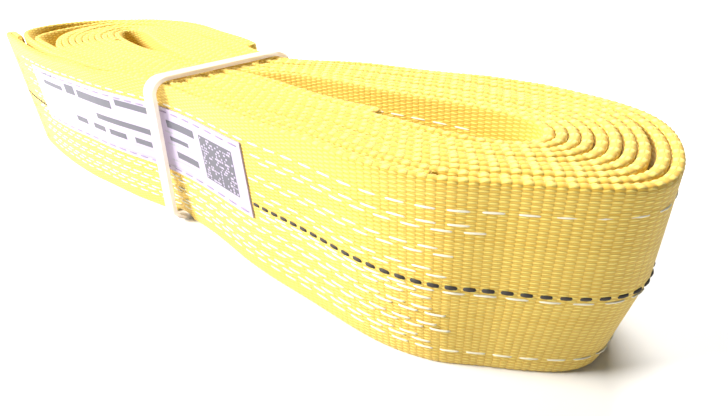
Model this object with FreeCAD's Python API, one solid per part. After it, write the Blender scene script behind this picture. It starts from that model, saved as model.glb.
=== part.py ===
"""Flat web sling, rolled up and held by a nylon tie. Millimetres, +Z up, web edges on Z = 0."""
import FreeCAD, Part
import math
import os

# Webbing
web_width = 50.0
ply_thickness = 2.1
ply_gap = 0.1

# Opening at the middle of the coil: its length along X, its height along Y, its left and low sides
opening_length = 177.0
opening_height = 14.0
opening_left = 44.0
opening_low = 19.6

# Turns of the coil, counted from the tip of the inner eye
inner_eye_end_turn = 0.27
splice_seam_turn = 5.27
tail_end_turn = 4.955
tail_ramp_turns = 0.02
outer_eye_tip_turn = 5.592
tail_share = 0.42

# Hem at the outer end of the webbing, in reaches of the coil: how far left of the opening it folds,
# how long its return is and how far the front band rises towards it
hem_reach = 1.9669
hem_return_reach = 0.5372
band_rise_reach = 0.2066

# Label sewn on the outer band
label_length = 131.0
label_height = 0.44 * web_width
label_thickness = 0.45
label_left = 31.0
label_bottom = 0.406 * web_width
label_gap = 0.03
label_margin = 1.3
label_steps = 24
label_end_rows = 3
label_end_row_bottom = 3.4

# Sewing thread
thread_width = 0.8
thread_proud = 0.3
thread_bed = 0.3
stitch_pitch = 6.2
stitch_length = 4.3
top_row_inset = 6.7
bottom_row_inset = 5.2
centre_row_below = 1.4
seam_first_turn = 4.605
row_pair_gap = 1.5
splice_row_heights = [share * web_width for share in (0.16, 0.252, 0.346, 0.438, 0.566, 0.672, 0.788)]
splice_row_ends = [opening_left + share * opening_length
                   for share in (0.983, 1.006, 1.0, 0.983, 1.0, 1.006, 1.034)]
splice_rows_inset = 17.6
tack_inset_x = 9.1
tack_pitch = 5.0
tack_length = 3.1
tack_inset = 3.5
edge_search_rounds = 40
band_search_from = 0.4
inner_rows_first = 0.67
inner_rows_last = 0.79

# Tracer yarn woven in the middle of the webbing
tracer_height = 1.1
tracer_proud = 0.12
tracer_bed = 0.12
tracer_point_spacing = 3.0
tracer_end_inset = 0.5

# Nylon tie round the waist of the coil
tie_width = 5.0
tie_thickness = 1.2
tie_clearance = 0.15
tie_waist_share = 0.4379
tie_front_top_x = opening_left + tie_waist_share * opening_length
tie_lean_across = 0.214
tie_lean_down = 0.17
tie_corner = 4.0
tie_bed_margin = 0.3
tie_place_count = 8
tie_back_turn_step = 0.005
tie_head_width = 8.2
tie_head_length = 7.6
tie_head_depth = 5.6
tie_head_middle = 0.42 * web_width
tie_head_wall = 1.4
tie_head_rounding = 0.9
tie_tail_stub = 2.2
slot_clearance = 0.2
slot_side_clearance = 0.6
chamber_side_clearance = 0.2
chamber_height = 2.3
tooth_pitch = 1.2
tooth_depth = 0.25
groove_depth = 0.45
groove_play = 0.25
pawl_width = 4.8
pawl_barrel_radius = 0.5
pawl_setback = 0.9
pawl_drop = 0.65
pawl_tip_reach = 3.6
pawl_tip_rise = 0.6
pawl_arm_clearance = 0.12
pawl_arm_heel = 1.0
pawl_tooth_setback = 0.15
pawl_tooth_slope = 0.55
pawl_tooth_count = 2
groove_land = 0.1
grooves_before = 2
grooves_after = 2
through_cut = 1.0
cut_overlap = 0.01
edge_runs_along = 0.99

# Smoothness of the drawn curves
samples_per_station = 5
points_per_edge = 15
leg_steps_per_point = 6
band_steps = 14
solver_rounds = 40

ply_pitch = ply_thickness + ply_gap
strand_pitch = 2 * ply_pitch
gap_share = ply_gap / strand_pitch
ply_share = 0.5
half_ply = ply_share / 2

# Stations round the opening, clockwise from the tip of the inner eye: the place on the opening's
# edge as shares of its length and height, then the outward lean and fullness of the stack of webbing,
# and how far the innermost web bows across the opening there, in strands
stations = [
    (0.808, 0.00, 0.00, -0.871, 0.1909),
    (0.684, 0.00, 0.00, -0.826, 0.0955),
    (0.571, 0.00, 0.00, -0.800, 0.3500),
    (0.452, 0.00, 0.00, -0.740, 0.2864),
    (0.339, 0.00, 0.00, -0.800, 0.4136),
    (0.226, 0.00, 0.00, -0.855, 0.3818),
    (0.113, 0.27, 0.00, -0.938, 0.0),
    (0.036, 0.51, -0.26, -1.030, 0.0),
    (0.004, 0.72, -0.80, -0.800, 0.0),
    (-0.001, 0.86, -1.10, -0.300, 0.0),
    (0.009, 0.99, -1.07, 0.180, 0.0),
    (0.041, 1.00, -0.66, 0.640, 0.0),
    (0.104, 0.70, -0.18, 0.930, 0.0),
    (0.203, 0.28, 0.00, 0.995, 0.0),
    (0.339, 0.00, 0.00, 0.985, -0.1273),
    (0.480, 0.00, 0.00, 0.765, -0.0955),
    (0.599, 0.32, 0.00, 0.818, 0.0),
    (0.723, 0.50, 0.00, 0.924, 0.0),
    (0.847, 0.64, 0.02, 1.008, 0.0),
    (0.941, 0.67, 0.41, 1.030, 0.0),
    (0.987, 0.61, 0.90, 0.720, 0.0),
    (1.000, 0.44, 1.13, 0.050, 0.0),
    (0.983, 0.16, 0.955, -0.390, 0.0),
    (0.920, 0.05, 0.27, -0.848, 0.0),
]

# Where the plies part at the outer end, as places on the middle line of each: along, from the
# opening's left side in reaches of the coil; across, as a share of the way from seam to far side
coil_wraps = 5.5
coil_reach = strand_pitch * coil_wraps
hem_fold_x = opening_left - hem_reach * coil_reach
hem_return = hem_return_reach * coil_reach
band_rise = band_rise_reach * coil_reach
outer_leg_places = [(0.0413, -0.0092), (-0.4132, 0.0108), (-0.7025, 0.0260), (-0.9917, 0.0450),
                    (-1.2810, 0.0716), (-1.5083, 0.1021), (-1.7190, 0.1534), (-1.8347, 0.2295),
                    (-1.8636, 0.3322), (-1.8017, 0.4691), (-1.6281, 0.6098), (-1.3554, 0.7411),
                    (-1.0165, 0.8494), (-0.6942, 0.9407), (-0.4421, 0.9902)]
inner_leg_places = [(0.0413, 0.0365), (-0.4132, 0.0583), (-0.7025, 0.0716), (-0.9380, 0.0907),
                    (-1.0992, 0.1401), (-1.1736, 0.2181), (-1.2025, 0.3132), (-1.1983, 0.4368)]
leg_tapers = 4.0
leg_lead_in = 0.015
outer_leg_rejoin_turn = 5.468
inner_leg_rejoin_turn = 5.402


def interpolating_controls(values):
    """Control values of the closed cubic curve that passes through the given values."""
    controls = list(values)
    for _ in range(solver_rounds):
        after = controls[1:] + controls[:1]
        before = controls[-1:] + controls[:-1]
        controls = [(6 * v - a - b) / 4 for v, a, b in zip(values, after, before)]
    return controls


def closed_curve_value(controls, turn):
    """Value of a closed uniform cubic curve; turn runs from 0 to 1 once round."""
    place = (turn % 1.0) * len(controls)
    start = int(math.floor(place))
    f = place - start
    blend = [(1 - f) ** 3, 3 * f ** 3 - 6 * f ** 2 + 4, -3 * f ** 3 + 3 * f ** 2 + 3 * f + 1, f ** 3]
    picked = [controls[(start + k - 1) % len(controls)] for k in range(4)]
    return sum(b * c for b, c in zip(blend, picked)) / 6


station_curves = [interpolating_controls([station[axis] for station in stations]) for axis in range(5)]


def stack_point(turn, depth):
    """Point in plan: turn counts wraps from the inner tip, depth counts strands outward."""
    share_x, share_y, lean_x, lean_y, bow = [closed_curve_value(curve, turn) for curve in station_curves]
    reach = strand_pitch * (turn + depth)
    x = opening_left + share_x * opening_length + lean_x * reach
    y = opening_low + share_y * opening_height + bow * strand_pitch + lean_y * reach
    return FreeCAD.Vector(x, y, 0)


def turns_between(first, last):
    """Evenly spaced turns, close enough together for the tight ends."""
    count = max(2, int(round(abs(last - first) * len(stations) * samples_per_station)))
    return [first + (last - first) * i / count for i in range(count + 1)]


def tail_lift(turn):
    """How far, in strands, the outer ply stands off over the lapped tail."""
    share = min(1.0, max(0.0, (turn - tail_end_turn) / tail_ramp_turns + 1.0))
    return tail_share * share * share * (3 - 2 * share)


def spline_edges(points):
    """One smooth curve through the points, as several short edges end to end."""
    curve = Part.BSplineCurve()
    curve.interpolate(points)
    knots = curve.getKnots()
    cuts = knots[:-1:points_per_edge] + knots[-1:]
    if len(cuts) > 2 and len(knots) - 1 - cuts.index(cuts[-2]) * points_per_edge < 3:
        del cuts[-2]
    return [curve.toShape(first, last) for first, last in zip(cuts[:-1], cuts[1:])]


def raise_outline(edges, bottom=0.0, height=web_width):
    """Solid over a closed plan outline."""
    face = Part.Face(Part.Wire(Part.__sortEdges__(edges)))
    solid = face.extrude(FreeCAD.Vector(0, 0, height))
    solid.translate(FreeCAD.Vector(0, 0, bottom))
    return solid


def strip(side_a, side_b, bottom=0.0, height=web_width):
    """Solid strip between two rows of plan points that run the same way."""
    ends = [Part.makeLine(side_a[0], side_b[0]), Part.makeLine(side_a[-1], side_b[-1])]
    return raise_outline(spline_edges(side_a) + spline_edges(side_b) + ends, bottom, height)


def straight_strip(side_a, side_b, bottom, height):
    """Like strip, with straight runs between the points; for short stitches."""
    outline = Part.makePolygon(side_a + side_b[::-1] + [side_a[0]])
    solid = Part.Face(outline).extrude(FreeCAD.Vector(0, 0, height))
    solid.translate(FreeCAD.Vector(0, 0, bottom))
    return solid


def inner_ply_sides(turns):
    return ([stack_point(t, 0.0) for t in turns],
            [stack_point(t, 0.5 - gap_share) for t in turns])


def outer_ply_sides(turns):
    return ([stack_point(t, 0.5 + tail_lift(t)) for t in turns],
            [stack_point(t, 1.0 - gap_share + tail_lift(t)) for t in turns])


def tail_sides(turns):
    return ([stack_point(t, 0.5) for t in turns],
            [stack_point(t, 0.5 - gap_share + tail_share) for t in turns])


def folded_loop(outer_side, inner_side, slit_outer, slit_inner):
    """Outline of a ply folded back on itself: the fold is round and joins the last points."""
    tip_outer = outer_side[-1]
    tip_inner = inner_side[-1]
    along = (outer_side[-1] - outer_side[-2]).normalize()
    radius = (tip_outer - tip_inner).Length / 2
    nose = (tip_outer + tip_inner) * 0.5 + along * radius
    edges = spline_edges(outer_side) + spline_edges(inner_side)
    edges += spline_edges(slit_outer) + spline_edges(slit_inner)
    edges.append(Part.Arc(tip_outer, nose, tip_inner).toShape())
    edges.append(Part.makeLine(slit_outer[-1], slit_inner[-1]))
    edges.append(Part.makeLine(outer_side[0], slit_outer[0]))
    edges.append(Part.makeLine(inner_side[0], slit_inner[0]))
    return raise_outline(edges)


def inner_eye_loop():
    turns = turns_between(inner_eye_end_turn, 0.0)
    inner_face, slit_inner = inner_ply_sides(turns)
    slit_outer, outer_face = outer_ply_sides(turns)
    return folded_loop(outer_face, inner_face, slit_outer, slit_inner)


def parted_leg(points, depth, rejoin_turn, seam_thickness):
    """Both faces of a leg of the outer eye, from the splice seam to where it lies on the coil."""
    lead_in = [stack_point(splice_seam_turn - back, depth) for back in (2 * leg_lead_in, leg_lead_in, 0.0)]
    near_y = stack_point(splice_seam_turn, ply_share).y
    across = stack_point(outer_leg_rejoin_turn, ply_share).y - near_y
    free = [FreeCAD.Vector(opening_left + x * coil_reach, near_y + y * across, 0) for x, y in points]
    laid_depth = half_ply if depth < ply_share else ply_share + half_ply
    laid = [stack_point(t, laid_depth) for t in turns_between(rejoin_turn, outer_eye_tip_turn)]
    near_face = stack_point(rejoin_turn, laid_depth - half_ply)
    laid_thickness = (stack_point(rejoin_turn, laid_depth + half_ply - gap_share) - near_face).Length
    curve = Part.BSplineCurve()
    curve.interpolate(lead_in + free + laid)
    first = curve.parameter(lead_in[-1])
    last = curve.parameter(laid[0])
    steps = leg_steps_per_point * len(points)
    left_side = []
    right_side = []
    for i in range(steps):
        at = first + (last - first) * i / steps
        tangent = curve.tangent(at)[0]
        from_seam = min(1.0, leg_tapers * i / steps)
        to_coil = max(0.0, leg_tapers * (i / steps - 1.0) + 1.0)
        thickness = seam_thickness + (ply_thickness - seam_thickness) * from_seam
        thickness += (laid_thickness - ply_thickness) * to_coil
        normal = FreeCAD.Vector(-tangent.y, tangent.x, 0) * (thickness / 2)
        left_side.append(curve.value(at) + normal)
        right_side.append(curve.value(at) - normal)
    return left_side, right_side


def outer_eye_loop():
    """Outer eye: the tail ply goes round the left end, folds on the far side and comes back."""
    seam_tail = tail_sides([splice_seam_turn])
    seam_inner = inner_ply_sides([splice_seam_turn])
    tail_thickness = (seam_tail[0][0] - seam_tail[1][0]).Length
    inner_thickness = (seam_inner[0][0] - seam_inner[1][0]).Length
    tail_depth = 0.5 + (tail_share - gap_share) / 2
    outer_out, outer_in = parted_leg(outer_leg_places, tail_depth, outer_leg_rejoin_turn, tail_thickness)
    inner_out, inner_in = parted_leg(inner_leg_places, half_ply - gap_share / 2, inner_leg_rejoin_turn,
                                     inner_thickness)
    outer_laid = turns_between(outer_leg_rejoin_turn, outer_eye_tip_turn)
    inner_laid = turns_between(inner_leg_rejoin_turn, outer_eye_tip_turn)
    # the outward side of a clockwise path is its left side
    outer_face = seam_tail[1] + outer_out[1:] + [stack_point(t, 1.0 - gap_share) for t in outer_laid]
    outer_slit = seam_tail[0] + outer_in[1:] + [stack_point(t, 0.5) for t in outer_laid]
    inner_slit = seam_inner[1] + inner_out[1:] + [stack_point(t, 0.5 - gap_share) for t in inner_laid]
    inner_face = seam_inner[0] + inner_in[1:] + [stack_point(t, 0.0) for t in inner_laid]
    return folded_loop(outer_face, inner_face, outer_slit, inner_slit)


def band_face(x):
    """Outer face of the front band left of the splice seam."""
    seam = stack_point(splice_seam_turn, 1.0 - gap_share + tail_share)
    run = (seam.x - x) / (seam.x - hem_fold_x)
    return FreeCAD.Vector(x, seam.y + band_rise * run * run, 0)


def band_side(depth, first_x, last_x):
    """Points along the front band, a given depth behind its outer face."""
    points = []
    for i in range(band_steps + 1):
        point = band_face(first_x + (last_x - first_x) * i / band_steps)
        points.append(point + FreeCAD.Vector(0, depth, 0))
    return points


def hemmed_end():
    """Last stretch of the outer ply, its end folded under."""
    seam_back, seam_front = [side[0] for side in outer_ply_sides([splice_seam_turn])]
    fold_x = hem_fold_x
    return_x = hem_fold_x + hem_return
    front = [seam_front] + band_side(0.0, seam_front.x, fold_x)[1:]
    slit_front = [seam_back] + band_side(ply_thickness, seam_back.x, fold_x)[1:]
    slit_back = band_side(ply_pitch, return_x, fold_x)
    back = band_side(ply_pitch + ply_thickness, return_x, fold_x)
    return folded_loop(front, back, slit_front, slit_back)


def outer_face_turns():
    """Plan points along the exposed outer face of the coil, from the far side to the hem's fold."""
    turns = turns_between(seam_first_turn, splice_seam_turn)
    laid = [stack_point(t, 1.0 - gap_share + tail_lift(t)) for t in turns]
    return laid + band_side(0.0, laid[-1].x, hem_fold_x)[1:]


class FacePath:
    """A plan curve that can be walked by length, with its outward normal."""

    def __init__(self, points, outward):
        self.curve = Part.BSplineCurve()
        self.curve.interpolate(points)
        self.outward = outward
        self.length = self.curve.length()

    def point(self, run, proud=0.0):
        at = self.curve.parameterAtDistance(run, self.curve.FirstParameter)
        tangent = self.curve.tangent(at)[0]
        normal = FreeCAD.Vector(-tangent.y, tangent.x, 0) * self.outward
        return self.curve.value(at) + normal * proud

    def run_at_x(self, x, low, high):
        """Length along the path where it crosses x, between two lengths on one straight side."""
        rising = self.point(high).x > self.point(low).x
        for _ in range(edge_search_rounds):
            middle = (low + high) / 2
            if (self.point(middle).x < x) == rising:
                low = middle
            else:
                high = middle
        return (low + high) / 2


def stitch_row(path, height, first_run, last_run, offset=0.0):
    """Separate stitches of one row of sewing along a path."""
    stitches = []
    run = first_run + offset
    while run + stitch_length <= last_run:
        places = [run + stitch_length * share for share in (0.0, 0.5, 1.0)]
        proud = [path.point(p, thread_proud) for p in places]
        bedded = [path.point(p, -thread_bed) for p in places]
        stitches.append(straight_strip(bedded, proud, height - thread_width / 2, thread_width))
        run += stitch_pitch
    return stitches


def front_run(path, x):
    """Length along the outer face at which the front band crosses x."""
    return path.run_at_x(x, path.length * band_search_from, path.length)


def label_strip(path, first_x, last_x, bottom, height, lift, thickness):
    """Strip that follows the front band's face between two places along X."""
    first = front_run(path, last_x)
    last = front_run(path, first_x)
    runs = [first + (last - first) * i / label_steps for i in range(label_steps + 1)]
    back = [path.point(r, lift) for r in runs]
    front = [path.point(r, lift + thickness) for r in runs]
    return strip(back, front, bottom, height)


def label_tag(path):
    return label_strip(path, label_left, label_left + label_length, label_bottom, label_height,
                       label_gap, label_thickness)


def label_stitches(path):
    """Thread along the label's four edges, standing on the label and bedded through it."""
    surface = label_gap + label_thickness
    first = front_run(path, label_left + label_length - label_margin)
    last = front_run(path, label_left + label_margin)
    stitches = []
    for height in (label_bottom + label_margin, label_bottom + label_height - label_margin):
        run = first
        while run + stitch_length <= last:
            places = [run, run + stitch_length / 2, run + stitch_length]
            back = [path.point(p, surface - thread_bed) for p in places]
            front = [path.point(p, surface + thread_proud) for p in places]
            stitches.append(straight_strip(back, front, height - thread_width / 2, thread_width))
            run += stitch_pitch
    for run in (first, last):
        for i in range(label_end_rows):
            bottom = label_bottom + label_end_row_bottom + i * stitch_pitch
            sides = [[path.point(run + side * thread_width, surface - thread_bed),
                      path.point(run + side * thread_width, surface + thread_proud)]
                     for side in (-0.5, 0.5)]
            stitches.append(straight_strip(sides[0], sides[1], bottom, stitch_length))
    return stitches


def uncovered_runs(path, height, first, left):
    """Stretches of the outer face at a height, from a run to a place on the band, past the label."""
    last = front_run(path, left)
    margin = row_pair_gap / 2
    if not label_bottom - margin < height < label_bottom + label_height + margin:
        return [(first, last)]
    before_label = front_run(path, label_left + label_length + thread_width)
    after_label = front_run(path, label_left - thread_width)
    return [(first, before_label), (after_label, last)]


def splice_row(path, height, right_end):
    """One pair of sewing rows along the splice, their stitches staggered."""
    stitches = []
    rows_left = hem_fold_x + splice_rows_inset
    for side, offset in ((-0.5, 0.0), (0.5, stitch_pitch / 2)):
        row_height = height + side * row_pair_gap
        for first, last in uncovered_runs(path, row_height, front_run(path, right_end), rows_left):
            stitches += stitch_row(path, row_height, first, last, offset)
    return stitches


def long_row(path, height):
    """A row of sewing along the whole exposed length of the outer ply."""
    stitches = []
    for first, last in uncovered_runs(path, height, 0.0, hem_fold_x + splice_rows_inset):
        stitches += stitch_row(path, height, first, last)
    return stitches


def tack_stitches(path):
    """Stitches across the hem, one above another."""
    run = front_run(path, hem_fold_x + tack_inset_x)
    sides = []
    for side in (-0.5, 0.5):
        place = run + side * thread_width
        sides.append([path.point(place, -thread_bed), path.point(place, thread_proud)])
    count = int((web_width - 2 * tack_inset) / tack_pitch)
    return [straight_strip(sides[0], sides[1], tack_inset + i * tack_pitch, tack_length)
            for i in range(count)]


def tracer_yarn(path):
    """Yarn at mid-width along the exposed outer face, out of sight behind the label."""
    pieces = []
    for first, last in uncovered_runs(path, web_width / 2, 0.0, hem_fold_x + tracer_end_inset):
        count = int((last - first) / tracer_point_spacing)
        runs = [first + (last - first) * i / count for i in range(count + 1)]
        back = [path.point(r, -tracer_bed) for r in runs]
        front = [path.point(r, tracer_proud) for r in runs]
        pieces.append(strip(back, front, (web_width - tracer_height) / 2, tracer_height))
    return pieces


def inner_splice_stitches():
    """Rows of sewing on the far face of the opening, where the inner eye is spliced."""
    path = FacePath([stack_point(t, 0.0) for t in turns_between(inner_rows_first, inner_rows_last)], -1)
    stitches = []
    for height in (web_width - top_row_inset, web_width / 2, bottom_row_inset):
        stitches += stitch_row(path, height, 0.0, path.length)
    return stitches


def tie_slab(extra=0.0):
    """Slanted slab, one tie width thick, that the tie lies in."""
    normal = FreeCAD.Vector(1, -tie_lean_across, -tie_lean_down)
    normal.normalize()
    middle = FreeCAD.Vector(tie_front_top_x, 0, web_width)
    thickness = (tie_width + 2 * extra) * normal.x
    spread = 4 * (web_width + opening_height)
    box = Part.makeBox(spread, spread, thickness, FreeCAD.Vector(-spread / 2, -spread / 2, -thickness / 2))
    box.Placement = FreeCAD.Placement(middle, FreeCAD.Rotation(FreeCAD.Vector(0, 0, 1), normal))
    return box


def tie_planes(path):
    """Front and back planes that the inside of the tie keeps to, clear of webbing and label."""
    low_x = tie_front_top_x - tie_lean_down * web_width - tie_width
    high_x = tie_front_top_x + tie_width
    places = [low_x + (high_x - low_x) * i / tie_place_count for i in range(tie_place_count + 1)]
    front = min(path.point(front_run(path, x)).y for x in places)
    front -= label_gap + label_thickness + thread_proud + tie_clearance
    backs = [stack_point(seam_first_turn + tie_back_turn_step * i, 1.0).y for i in range(tie_place_count)]
    return front, max(backs) + thread_proud + tie_clearance


def bar_along_x(front, back, bottom, top, radius):
    """Bar along X with a rounded rectangular outline in the YZ plane."""
    bar = Part.makeBox(opening_length, back - front, top - bottom,
                       FreeCAD.Vector(tie_front_top_x - opening_length / 2, front, bottom))
    along = [e for e in bar.Edges if abs(e.tangentAt(e.FirstParameter).x) > edge_runs_along]
    return bar.makeFillet(radius, along)


def tie_inside(front, back, inset=0.0):
    """The space that the tie closes round, drawn in on every side by an inset."""
    bottom = tie_clearance + tie_thickness
    return bar_along_x(front + inset, back - inset, bottom + inset, web_width + tie_clearance - inset,
                       tie_corner)


def tie_bed(front, back):
    """What the tie presses out of the webbing: corners and a shallow groove underneath."""
    reach = 4 * tie_thickness
    around = Part.makeBox(opening_length, back - front + 2 * reach, web_width + 2 * reach,
                          FreeCAD.Vector(tie_front_top_x - opening_length / 2, front - reach, -reach))
    top_room = bar_along_x(front + tie_clearance, back - tie_clearance, web_width - tie_corner,
                           web_width + 2 * tie_corner, tie_clearance)
    kept = tie_inside(front, back, tie_clearance).fuse(top_room)
    return around.cut(kept).common(tie_slab(tie_bed_margin))


class TieHead:
    """Places inside the tie's head, which sits on the far side of the waist."""

    def __init__(self, back):
        self.x = tie_front_top_x + tie_lean_across * back + tie_lean_down * (tie_head_middle - web_width)
        self.back = back
        self.start = back + tie_thickness + slot_clearance
        self.end = self.start + tie_head_depth
        self.tail_top = tie_head_middle - tie_thickness / 2
        self.tail_bottom = self.tail_top - tie_thickness
        self.slot_top = self.tail_top + slot_clearance
        self.slot_bottom = self.tail_bottom - slot_clearance
        self.bottom = self.slot_bottom - tie_head_wall
        self.top = self.bottom + tie_head_length
        self.pawl_y = self.start + pawl_setback
        self.pawl_z = self.slot_top + chamber_height - pawl_drop


def centred_box(x, y, z, width, end_y, top_z):
    """Box centred on x between two values of Y and Z."""
    return Part.makeBox(width, end_y - y, top_z - z, FreeCAD.Vector(x - width / 2, y, z))


def wedge_along_x(head, width, corners):
    """Prism along X from corners in Y and Z."""
    points = [FreeCAD.Vector(head.x - width / 2, y, z) for y, z in corners]
    return Part.Face(Part.makePolygon(points + points[:1])).extrude(FreeCAD.Vector(width, 0, 0))


def tie_strap(front, back, head):
    """Strap round the waist from its root under the head, its toothed tail turned out through it."""
    outer = bar_along_x(front - tie_thickness, back + tie_thickness, tie_clearance,
                        web_width + tie_clearance + tie_thickness, tie_corner + tie_thickness)
    loop = outer.cut(tie_inside(front, back))
    loop = loop.cut(centred_box(head.x, back - tie_thickness, head.tail_top, 4 * tie_head_width,
                                back + 2 * tie_thickness, head.top))
    tail = centred_box(head.x, back, head.tail_bottom, 4 * tie_head_width, head.end + tie_tail_stub,
                       head.tail_top)
    strap = loop.fuse(tail).removeSplitter().common(tie_slab())
    first_tooth = head.pawl_y + pawl_tip_reach - pawl_tooth_setback
    above = head.tail_top + cut_overlap
    for step in range(-grooves_before, grooves_after + 1):
        wall = first_tooth + step * tooth_pitch + groove_play
        groove = [(wall, above), (wall, head.tail_top - groove_depth),
                  (wall - tooth_pitch + groove_land, above)]
        strap = strap.cut(wedge_along_x(head, 2 * tie_head_width, groove))
    return strap


def tie_head(head):
    """Head with a slot for the tail, a chamber for the pawl and a foot that meets the strap's root."""
    block = centred_box(head.x, head.start, head.bottom, tie_head_width, head.end, head.top)
    along = [e for e in block.Edges if abs(e.tangentAt(e.FirstParameter).y) > edge_runs_along]
    block = block.makeFillet(tie_head_rounding, along)
    foot = centred_box(head.x, head.back, head.slot_top + chamber_height, tie_width, head.start, head.top)
    block = block.fuse(foot).removeSplitter()
    slot = centred_box(head.x, head.back - through_cut, head.slot_bottom,
                       tie_width + 2 * slot_side_clearance, head.end + through_cut, head.slot_top)
    chamber = centred_box(head.x, head.start + slot_clearance, head.slot_top - cut_overlap,
                          pawl_width + 2 * chamber_side_clearance, head.end + through_cut,
                          head.slot_top + chamber_height)
    return block.cut(slot).cut(chamber)


def tie_pawl(head):
    """Toothed pawl that leans from its hinge barrel down to the strap's tail."""
    y = head.pawl_y
    z = head.pawl_z
    radius = pawl_barrel_radius
    tip = y + pawl_tip_reach
    floor = head.tail_top + pawl_arm_clearance
    corners = [(y, z + radius), (tip, z - pawl_tip_rise), (tip, floor)]
    for step in range(pawl_tooth_count):
        wall = tip - pawl_tooth_setback - step * tooth_pitch
        corners += [(wall, floor), (wall, head.tail_top - tooth_depth), (wall - pawl_tooth_slope, floor)]
    below_barrel = radius * math.sqrt(0.5)
    corners += [(y + pawl_arm_heel, floor), (y - below_barrel, z - below_barrel)]
    arm = wedge_along_x(head, pawl_width, corners)
    barrel = Part.makeCylinder(radius, pawl_width, FreeCAD.Vector(head.x - pawl_width / 2, y, z),
                               FreeCAD.Vector(1, 0, 0))
    return arm.fuse(barrel).removeSplitter()


def webbing_nodes():
    """The plies of the sling, split where they part into eyes, splice and hem."""
    body_turns = turns_between(inner_eye_end_turn, splice_seam_turn)
    return {
        "inner_eye_loop": inner_eye_loop(),
        "body_inner_ply": strip(*inner_ply_sides(body_turns)),
        "body_outer_ply": strip(*outer_ply_sides(body_turns)),
        "splice_tail_ply": strip(*tail_sides(turns_between(tail_end_turn, splice_seam_turn))),
        "outer_eye_loop": outer_eye_loop(),
        "hemmed_end": hemmed_end(),
    }


def sewing_nodes(path):
    """Each line of sewing as a group of separate stitches."""
    nodes = {
        "label_stitches": label_stitches(path),
        "top_edge_stitches": long_row(path, web_width - top_row_inset),
        "bottom_edge_stitches": long_row(path, bottom_row_inset),
        "centre_stitches": long_row(path, web_width / 2 - centre_row_below),
        "hem_tack_stitches": tack_stitches(path),
        "inner_splice_stitches": inner_splice_stitches(),
        "tracer_yarn": tracer_yarn(path),
    }
    for number, (height, end) in enumerate(zip(splice_row_heights, splice_row_ends), 1):
        nodes["splice_stitches_%d" % number] = splice_row(path, height, end)
    return {name: Part.makeCompound(pieces) for name, pieces in nodes.items()}


def build():
    os.makedirs("parts", exist_ok=True)
    path = FacePath(outer_face_turns(), 1)
    front, back = tie_planes(path)
    head = TieHead(back)
    bed = tie_bed(front, back)
    nodes = {name: shape.cut(bed) for name, shape in webbing_nodes().items()}
    nodes["label_tag"] = label_tag(path)
    nodes.update(sewing_nodes(path))
    nodes["tie_strap"] = tie_strap(front, back, head)
    nodes["tie_head"] = tie_head(head)
    nodes["tie_pawl"] = tie_pawl(head)
    box = Part.makeCompound(list(nodes.values())).BoundBox
    to_origin = FreeCAD.Vector(-box.Center.x, -box.Center.y, -box.ZMin)
    for name, shape in nodes.items():
        shape.translate(to_origin)
        shape.exportStep("parts/" + name + ".step")
    pivot = FreeCAD.Vector(head.x, head.pawl_y, head.pawl_z) + to_origin
    print("pawl pivot", pivot)


build()
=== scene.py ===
"""Looks of the rolled web sling: woven plies, sewing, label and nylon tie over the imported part."""
import bisect
import math
import random

import bmesh
import bpy
from mathutils import Matrix, Vector


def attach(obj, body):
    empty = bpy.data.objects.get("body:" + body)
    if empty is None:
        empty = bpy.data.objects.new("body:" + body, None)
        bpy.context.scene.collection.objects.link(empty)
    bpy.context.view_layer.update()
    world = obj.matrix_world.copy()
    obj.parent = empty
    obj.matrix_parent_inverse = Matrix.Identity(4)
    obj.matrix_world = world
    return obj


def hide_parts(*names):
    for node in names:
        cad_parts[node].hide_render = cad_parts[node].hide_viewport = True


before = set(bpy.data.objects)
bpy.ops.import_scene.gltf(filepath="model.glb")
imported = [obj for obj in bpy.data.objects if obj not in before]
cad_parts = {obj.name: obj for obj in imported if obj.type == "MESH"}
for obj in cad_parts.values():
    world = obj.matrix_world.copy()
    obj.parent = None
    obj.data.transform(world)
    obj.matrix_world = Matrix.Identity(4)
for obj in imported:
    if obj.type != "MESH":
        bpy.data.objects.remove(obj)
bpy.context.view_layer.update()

# Lengths are in millimetres in the roll's own plan, moved to the part's frame by ROLL_SHIFT
MM = 0.001
ROLL_SHIFT = (-122.4001, -25.3789)

# Camera
CAMERA_PLACE = (0.1393, -0.09488, 0.0926)
CAMERA_HEADING = (-0.6702, 0.7421)
CAMERA_PITCH = math.radians(31.53)
CAMERA_ROLL = math.radians(-3.10)
CAMERA_LENS = 25.11
CAMERA_SENSOR = 36.0
CAMERA_CLIP = (0.005, 30.0)


def aimed_matrix():
    """Camera matrix from its place, heading, downward pitch and roll."""
    ahead = Vector((*CAMERA_HEADING, 0)) * math.cos(CAMERA_PITCH)
    ahead.z = -math.sin(CAMERA_PITCH)
    level_right = Vector((CAMERA_HEADING[1], -CAMERA_HEADING[0], 0))
    level_up = level_right.cross(ahead)
    right = level_right * math.cos(CAMERA_ROLL) + level_up * math.sin(CAMERA_ROLL)
    up = level_up * math.cos(CAMERA_ROLL) - level_right * math.sin(CAMERA_ROLL)
    turn = Matrix((right, up, -ahead)).transposed()
    return Matrix.Translation(CAMERA_PLACE) @ turn.to_4x4()


def make_camera():
    """Camera at the place and angle the roll is seen from."""
    data = bpy.data.cameras.new("camera")
    camera = bpy.data.objects.new("camera", data)
    bpy.context.scene.collection.objects.link(camera)
    bpy.context.scene.camera = camera
    data.sensor_width = CAMERA_SENSOR
    data.lens = CAMERA_LENS
    data.clip_start, data.clip_end = CAMERA_CLIP
    camera.matrix_world = aimed_matrix()


make_camera()

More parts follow.
